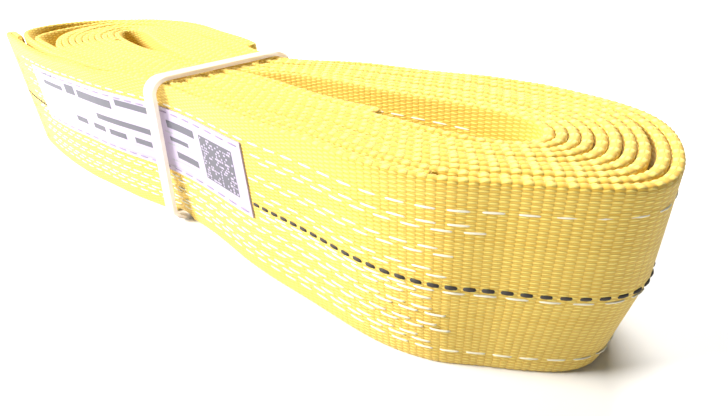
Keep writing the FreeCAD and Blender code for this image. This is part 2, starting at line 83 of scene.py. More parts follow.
# Webbing
WEB_WIDTH = 50.0
PLY_THICKNESS = 2.1
PLY_GAP = 0.1
WEAVE_PITCH = 3.65
LOOP_PITCH = WEAVE_PITCH / 2
ROW_PITCH = 0.49
SELVAGE_WIDTH = 2.4
LOOP_WAIST = 0.10
LOOP_SWELL = 0.02
LOOP_DEPTH = 0.24
LOWER_LOOP_SHARE = 0.6
DIP_SHARE = 0.25
MERGE_DISTANCE = 1e-7
STEPS_PER_LOOP = 4
STEP = LOOP_PITCH / STEPS_PER_LOOP
OPENING_LENGTH = 177.0
OPENING_HEIGHT = 14.0
OPENING_LEFT = 44.0
OPENING_LOW = 19.6
INNER_EYE_END_TURN = 0.27
SPLICE_SEAM_TURN = 5.27
TAIL_END_TURN = 4.955
TAIL_RAMP_TURNS = 0.02
OUTER_EYE_TIP_TURN = 5.592
TAIL_SHARE = 0.42
HEM_FOLD_X = -3.6
HEM_RETURN = 13.0
BAND_RISE = 5.0
PLY_PITCH = PLY_THICKNESS + PLY_GAP
STRAND_PITCH = 2 * PLY_PITCH
GAP_SHARE = PLY_GAP / STRAND_PITCH

# Round the opening: shares of its length and height, then the outward lean of the stack of webbing
STATIONS = [
    (0.808, 0.06, 0.00, -0.871),
    (0.684, 0.03, 0.00, -0.826),
    (0.571, 0.11, 0.00, -0.800),
    (0.452, 0.09, 0.00, -0.740),
    (0.339, 0.13, 0.00, -0.800),
    (0.226, 0.12, 0.00, -0.855),
    (0.113, 0.27, 0.00, -0.938),
    (0.036, 0.51, -0.26, -1.030),
    (0.004, 0.72, -0.80, -0.800),
    (-0.001, 0.86, -1.10, -0.300),
    (0.009, 0.99, -1.07, 0.180),
    (0.041, 1.00, -0.66, 0.640),
    (0.104, 0.70, -0.18, 0.930),
    (0.203, 0.28, 0.00, 0.995),
    (0.339, -0.04, 0.00, 0.985),
    (0.480, -0.03, 0.00, 0.765),
    (0.599, 0.32, 0.00, 0.818),
    (0.723, 0.50, 0.00, 0.924),
    (0.847, 0.64, 0.02, 1.008),
    (0.941, 0.67, 0.41, 1.030),
    (0.987, 0.61, 0.90, 0.720),
    (1.000, 0.44, 1.13, 0.050),
    (0.983, 0.16, 0.955, -0.390),
    (0.920, 0.05, 0.27, -0.848),
]
# Wraps that stand off the one inside them at the right end: turn, half the spread and the gap in strands
LOOSE_WRAPS = [(4.865, 0.085, 0.26), (3.865, 0.07, 0.09), (2.87, 0.06, 0.05)]

# The outer eye's two legs, as places on their middle lines
OUTER_LEG = [(45.0, -0.95), (34.0, 0.1), (27.0, 0.9), (20.0, 1.9), (13.0, 3.3), (7.5, 4.9),
             (2.4, 7.6), (-0.4, 11.6), (-1.1, 17.0), (0.4, 24.2), (4.6, 31.6), (11.2, 38.5),
             (19.4, 44.2), (27.2, 49.0), (33.3, 51.6)]
INNER_LEG = [(45.0, 1.45), (34.0, 2.6), (27.0, 3.3), (21.3, 4.3), (17.4, 6.9), (15.6, 11.0),
             (14.9, 16.0), (15.0, 22.5)]
OUTER_LEG_REJOIN_TURN = 5.468
INNER_LEG_REJOIN_TURN = 5.402
LEG_THINNING = 0.06
HEM_FOLD_HEADING = (-1, 0.13)

# Fineness of the drawn curves
SOLVER_ROUNDS = 40
SEARCH_ROUNDS = 40
POINTS_PER_TURN = 240
BAND_STEPS = 28
LEG_STEPS = 6
FOLD_STEPS = 8
TANGENT_REACH = 0.6
POINTS_APART = 1e-4

# Sewing, label and tie
THREAD_WIDTH = 0.54
THREAD_PROUD = 0.24
STITCH_REACH = 1.12
STITCH_PITCH = 6.2
STITCH_LENGTH = 4.3
TOP_ROW = 43.3
BOTTOM_ROW = 5.2
CENTRE_ROW = 23.6
TRACER_ROW = 25.0
ROW_PAIR_GAP = 1.5
SPLICE_ROW_HEIGHTS = [8.0, 12.6, 17.3, 21.9, 28.3, 33.6, 39.4]
SPLICE_ROW_ENDS = [217.99, 222.06, 221.0, 217.99, 221.0, 222.06, 227.02]
SPLICE_ROWS_LEFT = 14.0
SEAM_FIRST_TURN = 4.605
BAND_SEARCH_FROM = 0.4
INNER_SPLICE_TURNS = (0.67, 0.79)
BEAD_END_FULLNESS = 0.55
BEAD_BODY_FULLNESS = 0.45
BEAD_END_DIP = 0.28
BEAD_POLE = 1e-6
TRACER_LENGTH = 2.5
TRACER_WIDTH = 1.2
TRACER_PROUD = 0.42
TRACER_FIRST = 1.5
TRACER_LAST_INSET = 1.2
TRACER_HEM_INSET = 0.5
LABEL_LEFT = 31.0
LABEL_LENGTH = 131.0
LABEL_BOTTOM = 20.3
LABEL_HEIGHT = 22.0
LABEL_THICKNESS = 0.45
LABEL_GAP = 0.03
LABEL_MARGIN = 1.3
TACK_X = 5.5
TACK_PITCH = 5.0
TACK_LENGTH = 3.1
TACK_FIRST = 3.5
TACK_COUNT = 8
LABEL_THREAD_PROUD = 0.25
PRINT_THICKNESS = 0.03
PRINT_LIFT = 0.02
SPECK_LIFT = 0.07
PRINT_STEP = 4
TIE_PLACE = (121.5, 0.0, 50.0)
TIE_LEAN = (1.0, -0.214, -0.17)
TIE_WIDTH = 5.0
TIE_THICKNESS = 1.2
TIE_CORNER = 4.0
TIE_FRONT = -2.2
TIE_BACK = 40.146

# How far the webbing keeps from the tie, and how far beside it the webbing comes back
TIE_MARGIN = 0.5
TIE_FADE = 2.5
TIE_FACE_GAP = 0.3
TIE_FLOOR_GAP = 0.35
TIE_TOP_GAP = 0.05

# How the roll leans: along X, the share by which its plan draws in at the foot and spreads at the top
LEAN_AT_FOOT = [(0.0, 0.0), (60.0, -0.02), (113.0, -0.10), (150.0, -0.02), (185.0, -0.03),
                (215.0, -0.08), (240.0, -0.11), (260.0, -0.11)]
LEAN_AT_TOP = [(0.0, 0.0), (130.0, 0.0), (190.0, 0.01), (230.0, 0.005), (260.0, 0.0)]
LEAN_CENTRE_XS = (60.0, 205.0)
LEAN_CENTRE_Y = 24.0
LEAN_CURVE = 1.5


def between(table, x):
    """Value read from a table of places along X."""
    for (x0, v0), (x1, v1) in zip(table, table[1:]):
        if x < x1:
            return v0 + (v1 - v0) * max(0.0, (x - x0) / (x1 - x0))
    return table[-1][1]


def leaning(x, y, z):
    """The roll is a little narrower at its foot and wider at its top."""
    centre_x = min(LEAN_CENTRE_XS[1], max(LEAN_CENTRE_XS[0], x))
    middle = WEB_WIDTH / 2
    if z < middle:
        share = between(LEAN_AT_FOOT, x) * ((middle - z) / middle) ** LEAN_CURVE
    else:
        share = between(LEAN_AT_TOP, x) * (z - middle) / middle
    spread = 1 + share
    return centre_x + (x - centre_x) * spread, LEAN_CENTRE_Y + (y - LEAN_CENTRE_Y) * spread, z


def to_frame(x, y, z):
    """Point of the roll's plan, in millimetres, in the part's frame in metres."""
    x, y, z = leaning(x, y, z)
    return Vector(((x + ROLL_SHIFT[0]) * MM, (y + ROLL_SHIFT[1]) * MM, z * MM))


# ---------------------------------------------------------------- plan of the roll
def interpolating_controls(values):
    """Control values of the closed cubic curve that passes through the given values."""
    controls = list(values)
    for _ in range(SOLVER_ROUNDS):
        after = controls[1:] + controls[:1]
        before = controls[-1:] + controls[:-1]
        controls = [(6 * v - a - b) / 4 for v, a, b in zip(values, after, before)]
    return controls


def closed_curve_value(controls, turn):
    """Value of a closed uniform cubic curve; turn runs from 0 to 1 once round."""
    place = (turn % 1.0) * len(controls)
    start = int(math.floor(place))
    f = place - start
    blend = [(1 - f) ** 3, 3 * f ** 3 - 6 * f ** 2 + 4, -3 * f ** 3 + 3 * f ** 2 + 3 * f + 1, f ** 3]
    picked = [controls[(start + k - 1) % len(controls)] for k in range(4)]
    return sum(b * c for b, c in zip(blend, picked)) / 6


STATION_CURVES = [interpolating_controls([row[axis] for row in STATIONS]) for axis in range(4)]


def slack(turn):
    """How far, in strands, a wrap stands off the one inside it."""
    total = 0.0
    for middle, spread, gap in LOOSE_WRAPS:
        away = abs(turn - middle) / spread
        if away < 1:
            total += gap * (0.5 + 0.5 * math.cos(math.pi * away))
    return total


def stack_point(turn, depth):
    """Point in plan: turn counts wraps from the inner tip, depth counts strands outward."""
    depth += slack(turn)
    share_x, share_y, lean_x, lean_y = [closed_curve_value(curve, turn) for curve in STATION_CURVES]
    reach = STRAND_PITCH * (turn + depth)
    return Vector((OPENING_LEFT + share_x * OPENING_LENGTH + lean_x * reach,
                   OPENING_LOW + share_y * OPENING_HEIGHT + lean_y * reach))


def turns_between(first, last):
    """Evenly spaced turns."""
    count = max(2, int(round(abs(last - first) * POINTS_PER_TURN)))
    return [first + (last - first) * i / count for i in range(count + 1)]


def tail_lift(turn):
    """How far, in strands, the outer ply stands off over the lapped tail."""
    share = min(1.0, max(0.0, (turn - TAIL_END_TURN) / TAIL_RAMP_TURNS + 1.0))
    return TAIL_SHARE * share * share * (3 - 2 * share)


def band_face(x):
    """Outer face of the front band left of the splice seam."""
    seam = stack_point(SPLICE_SEAM_TURN, 1.0 - GAP_SHARE + TAIL_SHARE)
    run = (seam.x - x) / (seam.x - HEM_FOLD_X)
    return Vector((x, seam.y + BAND_RISE * run * run))


def band_points(depth, first_x, last_x):
    """Points along the front band, a given depth behind its outer face."""
    xs = [first_x + (last_x - first_x) * i / BAND_STEPS for i in range(BAND_STEPS + 1)]
    return [band_face(x) + Vector((0, depth)) for x in xs]


def smooth_curve(points, count):
    """Points along a smooth curve through the given ones."""
    result = []
    padded = [points[0] * 2 - points[1]] + points + [points[-1] * 2 - points[-2]]
    for i in range(1, len(padded) - 2):
        a, b, c, d = padded[i - 1:i + 3]
        for k in range(count):
            t = k / count
            result.append(0.5 * ((2 * b) + (c - a) * t + (2 * a - 5 * b + 4 * c - d) * t * t
                                 + (3 * b - a - 3 * c + d) * t ** 3))
    result.append(points[-1])
    return result


class PlanPath:
    """A plan polyline walked by its length, with a value carried along it."""

    def __init__(self, points, values=None):
        self.points = []
        self.values = []
        self.runs = []
        values = values or [1.0] * len(points)
        for point, value in zip(points, values):
            if self.points and (point - self.points[-1]).length < POINTS_APART:
                continue
            run = self.runs[-1] + (point - self.points[-1]).length if self.points else 0.0
            self.points.append(point.copy())
            self.values.append(value)
            self.runs.append(run)
        self.length = self.runs[-1]

    def place(self, run):
        i = min(len(self.runs) - 2, max(0, bisect.bisect_right(self.runs, run) - 1))
        share = (run - self.runs[i]) / (self.runs[i + 1] - self.runs[i])
        point = self.points[i].lerp(self.points[i + 1], share)
        return point, self.values[i] + (self.values[i + 1] - self.values[i]) * share

    def tangent(self, run):
        ahead = self.place(min(self.length, run + TANGENT_REACH))[0]
        behind = self.place(max(0.0, run - TANGENT_REACH))[0]
        return (ahead - behind).normalized()

    def beside(self, run, offset):
        """Point to the right of the path; on a clockwise path that is inward."""
        t = self.tangent(run)
        return self.place(run)[0] + Vector((t.y, -t.x)) * offset

    def run_at_x(self, x, low, high):
        rising = self.place(high)[0].x > self.place(low)[0].x
        for _ in range(SEARCH_ROUNDS):
            middle = (low + high) / 2
            if (self.place(middle)[0].x < x) == rising:
                low = middle
            else:
                high = middle
        return (low + high) / 2


def middle_line(turns, near_depth, far_depth, lifted=False):
    """Middle points and thicknesses of a ply between two depths of the stack."""
    points = []
    thicknesses = []
    for t in turns:
        lift = tail_lift(t) if lifted else 0.0
        near = stack_point(t, near_depth + lift)
        far = stack_point(t, far_depth + lift)
        points.append((near + far) / 2)
        thicknesses.append((near - far).length)
    return points, thicknesses


def fold_round(start, end, thickness, heading):
    """Half-round fold between two parallel middle lines."""
    middle = (start + end) / 2
    radius = (start - end).length / 2
    side = (start - end).normalized()
    points = []
    for i in range(1, FOLD_STEPS):
        angle = math.pi * i / FOLD_STEPS
        points.append(middle + side * radius * math.cos(angle) + heading * radius * math.sin(angle))
    return points, [thickness] * len(points)


def inner_ply_path():
    """The inner ply from the splice seam inward, round the inner eye's fold and back out."""
    points, widths = middle_line(turns_between(SPLICE_SEAM_TURN, 0.0), 0.0, 0.5 - GAP_SHARE)
    back, back_widths = middle_line(turns_between(0.0, INNER_EYE_END_TURN), 0.5, 1.0 - GAP_SHARE)
    fold, fold_widths = fold_round(points[-1], back[0], widths[-1], Vector((1, 0)))
    return PlanPath(points + fold + back, widths + fold_widths + back_widths)


def outer_ply_path():
    """The outer ply from the inner eye out to the front band, the hem's fold and its return."""
    points, widths = middle_line(turns_between(INNER_EYE_END_TURN, SPLICE_SEAM_TURN),
                                 0.5, 1.0 - GAP_SHARE, True)
    band = band_points(PLY_THICKNESS / 2, points[-1].x, HEM_FOLD_X)[1:]
    back = band_points(PLY_PITCH + PLY_THICKNESS / 2, HEM_FOLD_X, HEM_FOLD_X + HEM_RETURN)
    heading = Vector(HEM_FOLD_HEADING).normalized()
    fold, fold_widths = fold_round(band[-1], back[0], PLY_THICKNESS, heading)
    widths += [PLY_THICKNESS] * len(band) + fold_widths + [PLY_THICKNESS] * len(back)
    return PlanPath(points + band + fold + back, widths)


def leg_points(knots, seam_point, laid_first):
    """Middle line of a leg of the outer eye between the seam and where it is laid on the roll."""
    free = smooth_curve([seam_point] + [Vector(k) for k in knots] + [laid_first], LEG_STEPS)
    return free[1:-1], [PLY_THICKNESS - LEG_THINNING] * (len(free) - 2)


def outer_eye_path():
    """The lapped tail, the outer eye's outer leg, its fold and the inner leg back to the seam."""
    tail_turns = turns_between(TAIL_END_TURN, SPLICE_SEAM_TURN)
    points, widths = middle_line(tail_turns, 0.5, 0.5 - GAP_SHARE + TAIL_SHARE)
    laid, laid_widths = middle_line(turns_between(OUTER_LEG_REJOIN_TURN, OUTER_EYE_TIP_TURN),
                                    0.5, 1.0 - GAP_SHARE)
    leg, leg_widths = leg_points(OUTER_LEG, points[-1], laid[0])
    back, back_widths = middle_line(turns_between(OUTER_EYE_TIP_TURN, INNER_LEG_REJOIN_TURN),
                                    0.0, 0.5 - GAP_SHARE)
    heading = (laid[-1] - laid[-2]).normalized()
    fold, fold_widths = fold_round(laid[-1], back[0], laid_widths[-1], heading)
    seam, seam_widths = middle_line([SPLICE_SEAM_TURN], 0.0, 0.5 - GAP_SHARE)
    inner, inner_widths = leg_points(INNER_LEG, seam[0], back[-1])
    points += leg + laid + fold + back + inner[::-1] + seam
    widths += leg_widths + laid_widths + fold_widths + back_widths + inner_widths + seam_widths
    return PlanPath(points, widths)


# ---------------------------------------------------------------- webbing
def tie_hold(x, y, z):
    """Moves a point of webbing clear of the tie, fading out beside it."""
    lean = Vector(TIE_LEAN).normalized()
    aside = abs((Vector((x, y, z)) - Vector(TIE_PLACE)).dot(lean)) - TIE_WIDTH * lean.x / 2 - TIE_MARGIN
    if aside > TIE_FADE:
        return x, y, z
    share = 1.0 if aside < 0 else 0.5 + 0.5 * math.cos(math.pi * aside / TIE_FADE)
    front = TIE_FRONT + TIE_FACE_GAP
    back = TIE_BACK - TIE_FACE_GAP
    low = TIE_THICKNESS + TIE_FLOOR_GAP
    high = WEB_WIDTH - TIE_TOP_GAP
    radius = TIE_CORNER - TIE_MARGIN
    new_y = min(back, max(front, y))
    new_z = min(high, max(low, z))
    for edge_y, side in ((front, 1), (back, -1)):
        for edge_z, up in ((low, 1), (high, -1)):
            centre_y = edge_y + side * radius
            centre_z = edge_z + up * radius
            dy = new_y - centre_y
            dz = new_z - centre_z
            if dy * side < 0 and dz * up < 0 and math.hypot(dy, dz) > radius:
                scale = radius / math.hypot(dy, dz)
                new_y = centre_y + dy * scale
                new_z = centre_z + dz * scale
    return x, y + (new_y - y) * share, z + (new_z - z) * share


# Cross-section of the webbing, going round: side of the middle line and height
FACE_HEIGHTS = [1.0, 2.2, 25.0, 47.8, 49.0]
SECTION = [(-1.0, z) for z in FACE_HEIGHTS] + [(-0.74, 49.75), (0.0, 50.0), (0.74, 49.75)]
SECTION += [(1.0, z) for z in reversed(FACE_HEIGHTS)] + [(0.74, 0.25), (0.0, 0.0), (-0.74, 0.25)]


def selvage_share(height):
    """1 at either edge of the web, falling to 0 a little way in."""
    inset = min(height, WEB_WIDTH - height)
    return max(0.0, 1.0 - inset / SELVAGE_WIDTH)


def web_piece(name, path, phase, dip, material):
    """Closed strip of webbing along a path, with woven loops along both edges."""
    count = int(path.length / STEP)
    rows = len(SECTION)
    bm = bmesh.new()
    bmesh.ops.create_grid(bm, x_segments=count, y_segments=rows, size=1.0)
    weave = bm.verts.layers.float_vector.new("weave")
    frames = []
    for i in range(count + 1):
        run = path.length * i / count
        t = path.tangent(run)
        point, thickness = path.place(run)
        frames.append((run, point, Vector((t.y, -t.x)), thickness))
    for v in bm.verts:
        i = int(round((v.co.x + 1) / 2 * count))
        k = int(round((v.co.y + 1) / 2 * rows)) % rows
        run, point, inward, thickness = frames[i]
        side, height = SECTION[k]
        edge = selvage_share(height)
        loop = abs(math.sin(math.pi * (run + phase) / LOOP_PITCH))
        half = thickness / 2 * (1.0 - LOOP_WAIST * edge * (1.0 - loop)) + LOOP_SWELL * edge
        drop = LOOP_DEPTH * (1.0 - loop) * edge
        if height > WEB_WIDTH / 2:
            z = height - drop - dip(point, run) * (DIP_SHARE + (1.0 - DIP_SHARE) * edge)
        else:
            z = height + LOWER_LOOP_SHARE * drop
        place = point + inward * side * half
        x, y, z = tie_hold(place.x, place.y, z)
        v.co = to_frame(x, y, z)
        v[weave] = (run + phase, height, side)
    bmesh.ops.remove_doubles(bm, verts=bm.verts, dist=MERGE_DISTANCE)
    ends = [e for e in bm.edges if len(e.link_faces) == 1]
    bmesh.ops.holes_fill(bm, edges=ends, sides=0)
    bmesh.ops.recalc_face_normals(bm, faces=bm.faces)
    return finished(name, bm, material, True)


def finished(name, bm, material, smooth):
    """A piece of the sling made from a mesh that is being edited."""
    mesh = bpy.data.meshes.new(name)
    bm.to_mesh(mesh)
    bm.free()
    if smooth:
        for polygon in mesh.polygons:
            polygon.use_smooth = True
    mesh.materials.append(material)
    piece = bpy.data.objects.new(name, mesh)
    bpy.context.scene.collection.objects.link(piece)
    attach(piece, "sling")
    return piece


# ---------------------------------------------------------------- materials
# Weave: how full the floats and yarns are, and how deep the valleys between them stay; the same crown
# height also paints shade into the valleys' colour
FLOAT_FULLNESS = 0.6
FLOAT_VALLEY = 0.25
YARN_FULLNESS = 0.5
YARN_VALLEY = 0.4
TONE_ALONG = 0.012
TONE_ACROSS = 7.31
TONE_SHARE = 0.5
# How strongly the weave's valleys are darkened as painted shade
VALLEY_SHADE_SHARE = 0.85
# Dark colour: painted shade in the weave's valleys, and also the darker end of the yarns' random tone
YARN_DARK_TONE_AND_VALLEY_SHADE = (0.64, 0.37, 0.035)
YARN_BRIGHT = (0.93, 0.78, 0.20)
BUMP_STRENGTH = 0.85
BUMP_DEPTH = 0.0003
WEB_ROUGHNESS = 0.62
WEB_SPECULAR = 0.25
WEB_SHEEN = 0.15


def new_material(name):
    """A material with its nodes and links."""
    material = bpy.data.materials.new(name)
    material.use_nodes = True
    return material, material.node_tree.nodes, material.node_tree.links


def maths(nodes, links, operation, a, b=None, c=None):
    """Output of a math node fed with sockets or plain numbers."""
    node = nodes.new("ShaderNodeMath")
    node.operation = operation
    for i, value in enumerate((a, b, c)):
        if value is None:
            continue
        if isinstance(value, (int, float)):
            node.inputs[i].default_value = value
        else:
            links.new(value, node.inputs[i])
    return node.outputs[0]


def clamped(m, value):
    """The value kept between 0 and 1."""
    return m("MINIMUM", m("MAXIMUM", value, 0.0), 1.0)


def web_material():
    """Plain weave: floats along the web, each row half a pitch on from the next one; the valleys between
    them are coloured darker as painted shade.
    """
    material, nodes, links = new_material("web_polyester")
    shader = nodes["Principled BSDF"]

    def m(operation, a, b=None, c=None):
        return maths(nodes, links, operation, a, b, c)

    weave = nodes.new("ShaderNodeAttribute")
    weave.attribute_name = "weave"
    split = nodes.new("ShaderNodeSeparateXYZ")
    links.new(weave.outputs["Vector"], split.inputs[0])
    run, height = split.outputs[0], split.outputs[1]
    row = m("FLOOR", m("DIVIDE", height, ROW_PITCH))
    across = m("ABSOLUTE", m("SINE", m("MULTIPLY", height, math.pi / ROW_PITCH)))
    shift = m("MULTIPLY", m("MODULO", row, 2.0), 0.5)
    wave = m("SINE", m("MULTIPLY", m("ADD", m("DIVIDE", run, WEAVE_PITCH), shift), 2 * math.pi))
    along = m("POWER", m("MAXIMUM", wave, 0.0), FLOAT_FULLNESS)
    yarn = m("POWER", across, YARN_FULLNESS)
    across_share = m("ADD", m("MULTIPLY", yarn, 1.0 - YARN_VALLEY), YARN_VALLEY)
    along_share = m("ADD", m("MULTIPLY", along, 1.0 - FLOAT_VALLEY), FLOAT_VALLEY)
    crown = m("MULTIPLY", across_share, along_share)
    # yarns differ a little in tone
    tone_place = nodes.new("ShaderNodeCombineXYZ")
    links.new(m("MULTIPLY", run, TONE_ALONG), tone_place.inputs[0])
    links.new(m("MULTIPLY", row, TONE_ACROSS), tone_place.inputs[1])
    noise = nodes.new("ShaderNodeTexNoise")
    noise.inputs["Scale"].default_value = 1.0
    noise.inputs["Detail"].default_value = 2.0
    links.new(tone_place.outputs[0], noise.inputs["Vector"])
    tone = m("MULTIPLY", m("SUBTRACT", noise.outputs[0], 0.5), TONE_SHARE)
    mix = nodes.new("ShaderNodeMix")
    mix.data_type = "RGBA"
    mix.inputs[6].default_value = (*YARN_DARK_TONE_AND_VALLEY_SHADE, 1)
    mix.inputs[7].default_value = (*YARN_BRIGHT, 1)
    # painted shade: the weave's valleys lean to the dark colour and its crowns to the bright one; the
    # noise adds the yarns' random tone
    links.new(clamped(m, m("ADD", m("MULTIPLY", crown, VALLEY_SHADE_SHARE), tone)), mix.inputs[0])
    links.new(mix.outputs[2], shader.inputs["Base Color"])
    bump = nodes.new("ShaderNodeBump")
    bump.inputs["Strength"].default_value = BUMP_STRENGTH
    bump.inputs["Distance"].default_value = BUMP_DEPTH
    links.new(crown, bump.inputs["Height"])
    links.new(bump.outputs[0], shader.inputs["Normal"])
    shader.inputs["Roughness"].default_value = WEB_ROUGHNESS
    shader.inputs["Specular IOR Level"].default_value = WEB_SPECULAR
    shader.inputs["Sheen Weight"].default_value = WEB_SHEEN
    return material


def plain_material(name, color, roughness):
    """Material of one even colour."""
    material, nodes, _ = new_material(name)
    shader = nodes["Principled BSDF"]
    shader.inputs["Base Color"].default_value = (*color, 1)
    shader.inputs["Roughness"].default_value = roughness
    return material


def nylon_material():
    """Milky nylon that lets some light through."""
    material = plain_material("tie_nylon", (0.95, 0.90, 0.86), 0.3)
    shader = material.node_tree.nodes["Principled BSDF"]
    shader.inputs["Transmission Weight"].default_value = 0.55
    shader.inputs["IOR"].default_value = 1.25
    return material


WEB = web_material()
THREAD = plain_material("sewing_thread", (0.80, 0.77, 0.62), 0.6)
TRACER = plain_material("tracer_black", (0.035, 0.03, 0.025), 0.7)
LABEL = plain_material("label_cloth", (0.45, 0.39, 0.54), 0.4)
# painted shade: the hem's tack stitches are coloured in the orange of the shade in their grooves, not
# the pale thread colour
TACK_STITCH_SHADE = plain_material("tack_stitches_painted_shade", (0.85, 0.42, 0.07), 0.6)
LABEL_THREAD = plain_material("label_thread", (0.26, 0.20, 0.34), 0.6)
PRINT_DARK = plain_material("label_print_dark", (0.10, 0.10, 0.13), 0.5)
PRINT_GREY = plain_material("label_print_grey", (0.38, 0.38, 0.44), 0.5)
NYLON = nylon_material()


# ---------------------------------------------------------------- the plies
# The top edge of the webbing lies a little unevenly: lengths, starts and depths of its waves
WAVE_LENGTHS = (40, 140)
WAVE_STARTS = (0, 6.28)
WAVE_DEPTHS = (0.08, 0.2)
WAVE_COUNT = 3
WAVE_MIDDLE = 0.3
INNER_EDGE_SEED = 2
OUTER_EDGE_SEED = 5
EYE_EDGE_SEED = 9

# Where in a weave pitch each web starts
INNER_WEAVE_START = 0.0
OUTER_WEAVE_START = 1.1
EYE_WEAVE_START = 0.6

# The front band's edge sinks over a stretch left of the tie
SINK = 1.3
SINK_LAST_RUN = 420
SINK_FRONT_Y = 12
SINK_RIGHT = (112, 30)
SINK_LEFT = (8, 25)


def small_wave(seed):
    """Depth of the top edge below its full height, as a function of the run along the web."""
    picker = random.Random(seed)
    waves = [(picker.uniform(*WAVE_LENGTHS), picker.uniform(*WAVE_STARTS), picker.uniform(*WAVE_DEPTHS))
             for _ in range(WAVE_COUNT)]

    def dip(_point, run):
        sines = [depth * math.sin(2 * math.pi * run / length + start) for length, start, depth in waves]
        return WAVE_MIDDLE + sum(sines)
    return dip


def outer_dip(path):
    """The same for the outer ply, with the stretch of the front band where its edge sinks."""
    wave = small_wave(OUTER_EDGE_SEED)
    band_first = path.length - SINK_LAST_RUN

    def dip(point, run):
        value = wave(point, run)
        if run > band_first and point.y < SINK_FRONT_Y:
            from_right = min(1.0, max(0.0, (SINK_RIGHT[0] - point.x) / SINK_RIGHT[1]))
            from_left = min(1.0, max(0.0, (point.x - SINK_LEFT[0]) / SINK_LEFT[1]))
            share = from_right * from_left
            value += SINK * share * share * (3 - 2 * share)
        return max(0.0, value)
    return dip


def make_web(name, path, weave_start, dip, *stands_for):
    """One length of webbing built along its path, in place of the part's nodes that it hides."""
    piece = web_piece(name, path, weave_start, dip, WEB)
    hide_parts(*stands_for)


OUTER_PATH = outer_ply_path()
make_web("inner_ply_and_inner_eye", inner_ply_path(), INNER_WEAVE_START, small_wave(INNER_EDGE_SEED),
         "body_inner_ply", "inner_eye_loop")
make_web("outer_ply_and_hem", OUTER_PATH, OUTER_WEAVE_START, outer_dip(OUTER_PATH),
         "body_outer_ply", "hemmed_end")
make_web("tail_and_outer_eye", outer_eye_path(), EYE_WEAVE_START, small_wave(EYE_EDGE_SEED),
         "splice_tail_ply", "outer_eye_loop")


# ---------------------------------------------------------------- sewing
def exposed_face():
    """Path along the exposed outer face, from the far side to the hem's fold."""
    turns = turns_between(SEAM_FIRST_TURN, SPLICE_SEAM_TURN)
    points = [stack_point(t, 1.0 - GAP_SHARE + tail_lift(t)) for t in turns]
    return PlanPath(points + band_points(0.0, points[-1].x, HEM_FOLD_X)[1:])


FACE = exposed_face()


def front_run(x):
    """Run along the exposed face at which the front band crosses x."""
    return FACE.run_at_x(x, FACE.length * BAND_SEARCH_FROM, FACE.length)


def unit_beads(bm):
    """Vertices of one new bead with their places in it: along, outward and to its side, from -1 to 1."""
    made = bmesh.ops.create_uvsphere(bm, u_segments=8, v_segments=6, radius=1.0)
    for v in made["verts"]:
        along = math.copysign(abs(v.co.z) ** BEAD_END_FULLNESS, v.co.z)
        round_share = math.sqrt(max(0.0, 1.0 - v.co.z ** 2))
        scale = round_share ** BEAD_BODY_FULLNESS / round_share if round_share > BEAD_POLE else 0.0
        yield v, along, v.co.x * scale, v.co.y * scale


def lay_bead(bm, path, run, height, length, width, proud, outward):
    """One rounded stitch along a path; its ends dip into the webbing."""
    for v, along, out, aside in unit_beads(bm):
        depth = out * width / 2 + proud - width / 2 - BEAD_END_DIP * along ** 4
        plan = path.beside(run + along * length * STITCH_REACH / 2, outward * depth)
        v.co = to_frame(plan.x, plan.y, height + aside * width / 2)


def lay_upright_bead(bm, x, bottom, length):
    """One upright stitch on the front band."""
    run = front_run(x)
    for v, along, out, aside in unit_beads(bm):
        depth = out * THREAD_WIDTH / 2 + THREAD_PROUD - THREAD_WIDTH / 2 - BEAD_END_DIP * along ** 4
        plan = FACE.beside(run + aside * THREAD_WIDTH / 2, -depth)
        v.co = to_frame(plan.x, plan.y, bottom + length / 2 + along * length / 2)


def uncovered_runs(height, first, left):
    """Stretches of the exposed face at a height, from a run to a place on the band, past the label."""
    last = front_run(left)
    margin = ROW_PAIR_GAP / 2
    if not LABEL_BOTTOM - margin < height < LABEL_BOTTOM + LABEL_HEIGHT + margin:
        return [(first, last)]
    before_label = front_run(LABEL_LEFT + LABEL_LENGTH + THREAD_WIDTH)
    return [(first, before_label), (front_run(LABEL_LEFT - THREAD_WIDTH), last)]


def sew_row(bm, path, height, first, last, proud=THREAD_PROUD, outward=-1):
    """A row of stitches along a path."""
    run = first
    while run + STITCH_LENGTH <= last:
        lay_bead(bm, path, run + STITCH_LENGTH / 2, height, STITCH_LENGTH, THREAD_WIDTH, proud, outward)
        run += STITCH_PITCH


def sewn_piece(name, bm, node, thread):
    """Finished sewing that stands for one of the part's nodes."""
    piece = finished(name, bm, thread, True)
    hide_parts(node)
    return piece


def sew_long_rows():
    """The three rows along the whole exposed length."""
    for label, height in (("top_edge", TOP_ROW), ("bottom_edge", BOTTOM_ROW), ("centre", CENTRE_ROW)):
        bm = bmesh.new()
        for first, last in uncovered_runs(height, 0.0, SPLICE_ROWS_LEFT):
            sew_row(bm, FACE, height, first, last)
        sewn_piece("sewn_" + label + "_row", bm, label + "_stitches", THREAD)


def sew_splice_rows():
    """Seven pairs of rows, the two rows of a pair staggered."""
    for number, (height, right_end) in enumerate(zip(SPLICE_ROW_HEIGHTS, SPLICE_ROW_ENDS), 1):
        bm = bmesh.new()
        for side, offset in ((-0.5, 0.0), (0.5, STITCH_PITCH / 2)):
            row = height + side * ROW_PAIR_GAP
            for first, last in uncovered_runs(row, front_run(right_end), SPLICE_ROWS_LEFT):
                sew_row(bm, FACE, row, first + offset, last)
        sewn_piece("sewn_splice_rows_%d" % number, bm, "splice_stitches_%d" % number, THREAD)


def sew_tacks():
    """Upright stitches across the hem, coloured orange as painted shade."""
    bm = bmesh.new()
    for i in range(TACK_COUNT):
        lay_upright_bead(bm, TACK_X, TACK_FIRST + i * TACK_PITCH, TACK_LENGTH)
    sewn_piece("sewn_hem_tacks", bm, "hem_tack_stitches", TACK_STITCH_SHADE)


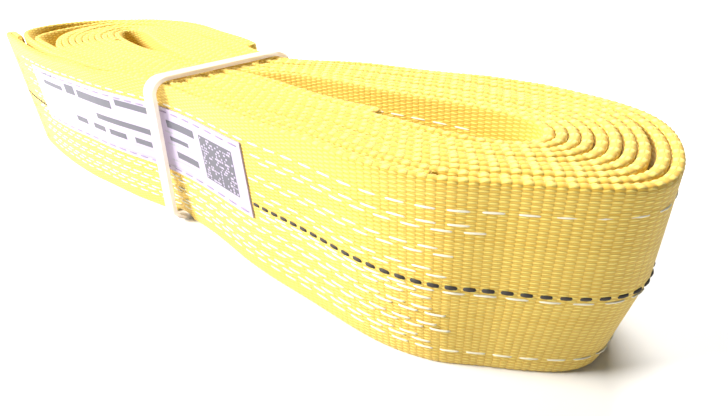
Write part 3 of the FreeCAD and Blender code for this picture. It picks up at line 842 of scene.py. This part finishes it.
def lay_tracer():
    """Dark yarn at mid-width, seen as one float in every weave pitch."""
    bm = bmesh.new()
    for first, last in uncovered_runs(TRACER_ROW, 0.0, HEM_FOLD_X + TRACER_HEM_INSET):
        run = first + TRACER_FIRST
        while run < last - TRACER_LAST_INSET:
            lay_bead(bm, FACE, run, TRACER_ROW, TRACER_LENGTH, TRACER_WIDTH, TRACER_PROUD, -1)
            run += WEAVE_PITCH
    piece = finished("tracer_floats", bm, TRACER, True)
    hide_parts("tracer_yarn")


def sew_inner_splice():
    """Rows on the far face of the opening."""
    far = PlanPath([stack_point(t, 0.0) for t in turns_between(*INNER_SPLICE_TURNS)])
    bm = bmesh.new()
    for height in (TOP_ROW, WEB_WIDTH / 2, BOTTOM_ROW):
        sew_row(bm, far, height, 0.0, far.length, outward=1)
    sewn_piece("sewn_inner_splice", bm, "inner_splice_stitches", THREAD)


# ---------------------------------------------------------------- label
# Printed bars on the label: left end, middle height, length, thickness
GREY_BARS = [(40, 34.2, 15, 1.3), (40, 31.6, 17, 1.1), (40, 28.8, 14, 1.1), (40, 26.2, 16, 1.1),
             (40, 23.8, 17, 1.0), (60, 34.4, 26, 1.6), (33, 22.3, 105, 0.4), (33, 41.4, 88, 0.4),
             (120, 25.0, 18, 0.5), (120, 30.6, 18, 0.5), (120, 34.6, 18, 0.5), (62, 25.2, 52, 0.5),
             (62, 29.4, 52, 0.5), (98, 35.4, 17, 1.9)]
DARK_BARS = [(40, 41.0, 11, 1.0), (40, 37.4, 17, 1.7), (60, 38.2, 7, 3.4), (69, 37.8, 23, 2.8),
             (95, 39.3, 22, 2.1), (80, 31.9, 37, 2.0), (62, 27.3, 8, 2.0), (75, 27.3, 8, 2.0),
             (86, 27.3, 10, 2.0), (101, 27.3, 9, 2.0), (124, 27.6, 12, 2.2), (122, 37.4, 15, 2.4),
             (122, 32.6, 10, 1.4), (140, 31.7, 17.2, 13.6)]

# Pale specks over the dark block at the label's right
SPECK_SEED = 31
SPECK_ROWS = 15
SPECK_COLUMNS = 19
SPECK_PITCH = 0.87
SPECK_FIRST = (140.6, 25.6)
SPECK_SHARE = 0.42
SPECK_LENGTHS = (0.4, 0.9)
SPECK_HEIGHTS = (0.35, 0.7)

LABEL_COLUMNS = 80
LABEL_ROWS = 4


def label_surface(bm, left, right, bottom, height, lift, thickness, columns, rows):
    """Closed thin slab on the front band's face."""
    first = front_run(right)
    last = front_run(left)
    made = bmesh.ops.create_grid(bm, x_segments=columns, y_segments=rows, size=1.0)
    low = made["verts"]
    faces = list(dict.fromkeys(face for v in low for face in v.link_faces))
    grown = bmesh.ops.extrude_face_region(bm, geom=faces)
    raised = [g for g in grown["geom"] if isinstance(g, bmesh.types.BMVert)]
    for verts, proud in ((raised, lift + thickness), (low, lift)):
        for v in verts:
            plan = FACE.beside(first + (last - first) * (v.co.x + 1) / 2, -proud)
            v.co = to_frame(plan.x, plan.y, bottom + height * (v.co.y + 1) / 2)


def make_label_cloth():
    """The label itself, laid on the front band."""
    bm = bmesh.new()
    label_surface(bm, LABEL_LEFT, LABEL_LEFT + LABEL_LENGTH, LABEL_BOTTOM, LABEL_HEIGHT,
                  LABEL_GAP, LABEL_THICKNESS, LABEL_COLUMNS, LABEL_ROWS)
    bmesh.ops.recalc_face_normals(bm, faces=bm.faces)
    label = finished("label_cloth", bm, LABEL, False)
    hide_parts("label_tag")


def print_label(name, bars, material, lift):
    """Printed bars, each a thin slab on the label."""
    bm = bmesh.new()
    for left, middle, length, height in bars:
        label_surface(bm, left, left + length, middle - height / 2, height,
                      LABEL_GAP + LABEL_THICKNESS + lift, PRINT_THICKNESS,
                      max(1, int(length / PRINT_STEP)), 1)
    bmesh.ops.recalc_face_normals(bm, faces=bm.faces)
    finished(name, bm, material, False)


def speck_bars():
    """Pale marks scattered over the dark block."""
    picker = random.Random(SPECK_SEED)
    bars = []
    for row in range(SPECK_ROWS):
        for column in range(SPECK_COLUMNS):
            if picker.random() < SPECK_SHARE:
                bars.append((SPECK_FIRST[0] + column * SPECK_PITCH, SPECK_FIRST[1] + row * SPECK_PITCH,
                             picker.uniform(*SPECK_LENGTHS), picker.uniform(*SPECK_HEIGHTS)))
    return bars


def sew_label():
    """Thread along the label's long edges."""
    bm = bmesh.new()
    first = front_run(LABEL_LEFT + LABEL_LENGTH - LABEL_MARGIN)
    last = front_run(LABEL_LEFT + LABEL_MARGIN)
    for height in (LABEL_BOTTOM + LABEL_MARGIN, LABEL_BOTTOM + LABEL_HEIGHT - LABEL_MARGIN):
        sew_row(bm, FACE, height, first, last, LABEL_GAP + LABEL_THICKNESS + LABEL_THREAD_PROUD)
    sewn_piece("sewn_label_edge", bm, "label_stitches", LABEL_THREAD)


sew_long_rows()
sew_splice_rows()
sew_tacks()
lay_tracer()
sew_inner_splice()
make_label_cloth()
print_label("label_print_dark", DARK_BARS, PRINT_DARK, PRINT_LIFT)
print_label("label_print_grey", GREY_BARS, PRINT_GREY, PRINT_LIFT)
print_label("label_print_specks", speck_bars(), LABEL, SPECK_LIFT)
sew_label()

# ---------------------------------------------------------------- tie
for node_name in ("tie_strap", "tie_head", "tie_pawl"):
    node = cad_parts[node_name]
    node.data.materials.clear()
    node.data.materials.append(NYLON)


# ---------------------------------------------------------------- stage
FLOOR_HALF = 6.0
WORLD_STRENGTH = 0.14
KEY_LIGHT = dict(place=(-0.48, -0.50, 0.48), target=(-0.05, 0.0, 0.03), size=0.35, power=17.5,
                 color=(1.0, 0.98, 0.94))
BACK_LIGHT = dict(place=(-0.2, 0.55, 0.75), target=(0.0, 0.0, 0.02), size=0.5, power=14.0,
                  color=(1.0, 0.99, 0.97))


def make_floor():
    """Pale floor under the roll."""
    bm = bmesh.new()
    bmesh.ops.create_grid(bm, x_segments=1, y_segments=1, size=FLOOR_HALF)
    mesh = bpy.data.meshes.new("floor")
    bm.to_mesh(mesh)
    bm.free()
    mesh.materials.append(plain_material("floor_pale", (0.86, 0.86, 0.86), 0.8))
    floor = bpy.data.objects.new("floor", mesh)
    bpy.context.scene.collection.objects.link(floor)


def area_light(name, place, target, size, power, color):
    """Square soft light aimed at a point."""
    data = bpy.data.lights.new(name, "AREA")
    data.size = size
    data.energy = power
    data.color = color
    light = bpy.data.objects.new(name, data)
    light.location = place
    light.rotation_euler = (Vector(target) - Vector(place)).to_track_quat("-Z", "Y").to_euler()
    bpy.context.scene.collection.objects.link(light)


def make_world():
    """Even white surroundings."""
    world = bpy.data.worlds.new("studio")
    bpy.context.scene.world = world
    world.use_nodes = True
    background = world.node_tree.nodes["Background"]
    background.inputs["Color"].default_value = (1.0, 1.0, 1.0, 1)
    background.inputs["Strength"].default_value = WORLD_STRENGTH


make_floor()
area_light("key", **KEY_LIGHT)
area_light("back_top", **BACK_LIGHT)
make_world()
bpy.context.scene.view_settings.view_transform = "Standard"
bpy.context.scene.view_settings.look = "None"
